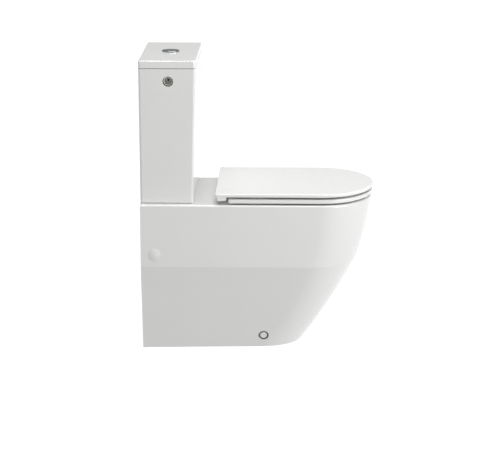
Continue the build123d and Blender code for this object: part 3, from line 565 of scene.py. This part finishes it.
class TOILET_OT_fixings(bpy.types.Operator):
    """Finish bolts, nuts, hinges, dampers, brackets and caps"""

    bl_idname = "toilet.fixings"
    bl_label = "Fixings and hinges"

    def execute(self, context):
        finish = context.scene.toilet_finishes
        sizes = context.scene.toilet_sizes
        trim = moulded_plastic("moulded_white_trim", finish.trim, 0.16, 0.24, 1.2)
        dark = moulded_plastic("moulded_grey_nylon", finish.nylon_grey, 0.4, 0.55, 0.8)
        white = moulded_plastic("moulded_white_nylon", finish.valve_white, 0.35, 0.5, 0.8)
        rubber = soft_rubber("moulded_hinge_rubber", finish.rubber, 0.7)
        buffer = soft_rubber("moulded_hinge_pad", finish.buffer, 0.5)
        steel = worked_metal("brushed_stainless_steel", finish.steel, 0.22, 0.34, 0.4)
        zinc = worked_metal("zinc_plated_steel", finish.zinc, 0.28, 0.45, 0.6)
        brass = worked_metal("pressed_brass", finish.brass, 0.25, 0.4, 0.8)
        dress("service_caps", trim, sizes.plastic_edge)
        dress("fixing_caps", trim, sizes.plastic_edge)
        dress("fixing_rings", dark, sizes.metal_edge)
        dress("seat_dampers", dark, sizes.metal_edge)
        dress("cover_dampers", dark, sizes.metal_edge)
        dress("floor_brackets", white, sizes.plastic_edge)
        dress("hinge_nuts", white, sizes.plastic_edge)
        dress("hinge_bushes", rubber, sizes.metal_edge)
        dress("hinge_pads", buffer, sizes.metal_edge)
        dress("hinge_posts", steel, sizes.metal_edge)
        dress("hinge_pins", steel, sizes.metal_edge)
        dress("wing_nuts", brass, sizes.plastic_edge)
        for node in ("hinge_studs", "cistern_bolts", "bolt_steel_washers", "fixing_screws"):
            dress(node, zinc, sizes.metal_edge)
        return {"FINISHED"}


class TOILET_OT_threads(bpy.types.Operator):
    """Add the threads of the cistern bolts, the hinge studs and the button sleeve"""

    bl_idname = "toilet.threads"
    bl_label = "Threads"

    def execute(self, context):
        finish = context.scene.toilet_finishes
        sizes = context.scene.toilet_sizes
        zinc = worked_metal("rolled_zinc_thread", finish.zinc, 0.25, 0.4, 0.6)
        ridge = sizes.thread_ridge * MM
        edge_to_axis = {"cistern_bolts": sizes.bolt_head_radius, "hinge_studs": sizes.bolt_radius}
        for node in ("cistern_bolts", "hinge_studs"):
            low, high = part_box(node)
            reach = (low.y + high.y) / 2
            nut_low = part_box("wing_nuts" if node == "cistern_bolts" else "hinge_nuts")[0].z
            for side, end in (("left", high.x), ("right", low.x)):
                x = end - math.copysign(edge_to_axis[node] * MM, end)
                piece = thread(
                    f"{node}_{side}_thread", (x, reach), sizes.bolt_radius * MM, low.z, nut_low,
                    sizes.bolt_pitch * MM, ridge,
                )
                belong(piece, "pan", zinc)
        low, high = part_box("button_bezel")
        nut_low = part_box("bezel_nut")[0].z
        middle = (low + high) / 2
        piece = thread(
            "button_sleeve_thread", middle, sizes.sleeve_radius * MM, low.z, nut_low,
            sizes.sleeve_pitch * MM, ridge,
        )
        belong(piece, "cistern_lid", satin_chrome(finish))
        return {"FINISHED"}


def softbox(name, spot, target, size, power):
    """A soft rectangular studio lamp, aimed at a point."""
    deselect()
    bpy.ops.object.light_add(type="AREA", location=spot)
    lamp = bpy.context.object
    lamp.name = name
    lamp.data.shape = "RECTANGLE"
    lamp.data.size, lamp.data.size_y = size
    lamp.data.energy = power
    lamp.rotation_euler = (Vector(target) - Vector(spot)).to_track_quat("-Z", "Y").to_euler()


def luminous_floor(stage):
    """A pale floor lit from below like a light table, so that it stays even and almost shadowless."""
    material, tree, output = new_material("studio_floor")
    shader = add_node(
        tree, "ShaderNodeBsdfPrincipled",
        {
            "Base Color": (0.15, 0.15, 0.15, 1),
            "Roughness": 0.9,
            "Emission Color": (*stage.floor_colour, 1),
            "Emission Strength": 0.98,
            "Specular IOR Level": 0.0,
        },
    )
    tree.links.new(shader.outputs[0], output.inputs["Surface"])
    return material


def studio_room(stage):
    """A plain room, with one strength of light from above and another from below."""
    world = bpy.data.worlds.new("studio_room")
    world.use_nodes = True
    tree = world.node_tree
    background = tree.nodes["Background"]
    background.inputs["Color"].default_value = (1, 1, 1, 1)
    direction = add_node(tree, "ShaderNodeTexCoord").outputs["Generated"]
    axes = add_node(tree, "ShaderNodeSeparateXYZ", {}, {"Vector": direction})
    reach = stage.horizon_blend
    strength = mapped(tree, axes.outputs["Z"], (-reach, reach), (stage.room_below, stage.room_above))
    tree.links.new(strength, background.inputs["Strength"])
    return world


class TOILET_OT_stage(bpy.types.Operator):
    """Lay the floor, hang the lights and place the camera"""

    bl_idname = "toilet.stage"
    bl_label = "Stage"

    def execute(self, context):
        stage = context.scene.toilet_stage
        low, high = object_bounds()
        middle = (low + high) / 2
        deselect()
        bpy.ops.mesh.primitive_plane_add(size=stage.floor_width, location=(0, 0, low.z - 0.0005))
        floor = named("studio_floor")
        bpy.ops.object.transform_apply(location=True, rotation=True, scale=True)
        paint(floor, luminous_floor(stage))
        floor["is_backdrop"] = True

        floor.visible_diffuse = False
        context.scene.world = studio_room(stage)
        front_size = (stage.front_width, stage.front_height)
        softbox("front_softbox", stage.front_place, middle, front_size, stage.front_light)
        softbox("top_softbox", stage.top_place, middle, (stage.top_width, stage.top_width), stage.top_light)

        bpy.ops.object.camera_add(location=stage.camera_place)
        camera = context.object
        camera.name = "camera"
        camera.data.lens = stage.camera_lens
        camera.data.sensor_width = 36
        level = math.cos(stage.camera_pitch)
        drop = -math.sin(stage.camera_pitch)
        forward = Vector((level * math.cos(stage.camera_turn), level * math.sin(stage.camera_turn), drop))
        camera.rotation_euler = forward.to_track_quat("-Z", "Y").to_euler()
        camera.data.clip_start = 0.1
        camera.data.clip_end = 100
        context.scene.camera = camera
        context.scene.view_settings.view_transform = "Standard"
        context.scene.view_settings.look = "None"
        return {"FINISHED"}


class TOILET_PT_panel(bpy.types.Panel):
    """Steps that finish the toilet"""

    bl_label = "Toilet"
    bl_idname = "TOILET_PT_panel"
    bl_space_type = "VIEW_3D"
    bl_region_type = "UI"
    bl_category = "Toilet"

    def draw(self, context):
        for step in STEPS:
            self.layout.operator(step.bl_idname)
        for group in ("toilet_finishes", "toilet_sizes", "toilet_stage"):
            settings = getattr(context.scene, group)
            box = self.layout.box()
            for name in settings.bl_rna.properties.keys():
                if name not in ("rna_type", "name"):
                    box.prop(settings, name)


STEPS = (
    TOILET_OT_china,
    TOILET_OT_seat,
    TOILET_OT_buttons,
    TOILET_OT_valves,
    TOILET_OT_fixings,
    TOILET_OT_threads,
    TOILET_OT_stage,
)
GROUPS = {"toilet_finishes": ToiletFinishes, "toilet_sizes": ToiletSizes, "toilet_stage": ToiletStage}


def register():
    for group in GROUPS.values():
        bpy.utils.register_class(group)
    for name, group in GROUPS.items():
        setattr(bpy.types.Scene, name, bpy.props.PointerProperty(type=group))
    for step in STEPS:
        bpy.utils.register_class(step)
    bpy.utils.register_class(TOILET_PT_panel)


def unregister():
    bpy.utils.unregister_class(TOILET_PT_panel)
    for step in reversed(STEPS):
        bpy.utils.unregister_class(step)
    for name, group in GROUPS.items():
        delattr(bpy.types.Scene, name)
        bpy.utils.unregister_class(group)


def main():
    register()
    for step in STEPS:
        family, action = step.bl_idname.split(".")
        getattr(getattr(bpy.ops, family), action)()


if __name__ == "__main__":
    main()
